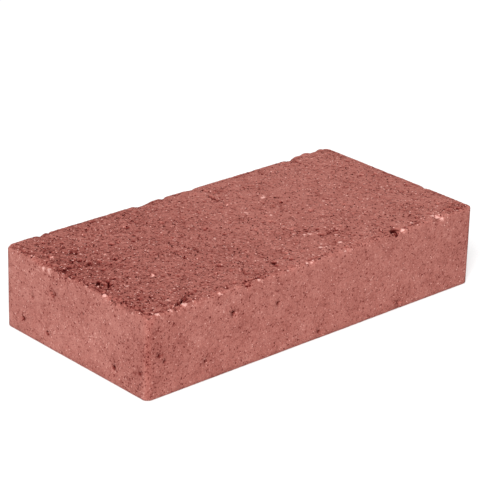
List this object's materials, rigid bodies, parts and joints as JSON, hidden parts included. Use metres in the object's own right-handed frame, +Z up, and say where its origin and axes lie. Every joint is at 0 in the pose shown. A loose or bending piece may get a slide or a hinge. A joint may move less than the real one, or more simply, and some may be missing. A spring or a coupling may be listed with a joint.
{
  "type": "concrete paving stone",
  "caption": "Solid rectangular red concrete paving stone with worn, chipped edges round its wearing face; laid on sand beside its like.",
  "frame": {"origin": "middle of the bed face, which lies on the ground", "axes": "+X along the length, +Y across the width, +Z up through the wearing face"},
  "size_m": [0.2, 0.1, 0.0408],
  "materials": {
    "concrete": "matte red pigmented concrete, smooth where it met the mould and granular on the wearing face"
  },
  "bodies": {
    "root": {"paving_stone": "concrete"}
  },
  "joints": []
}
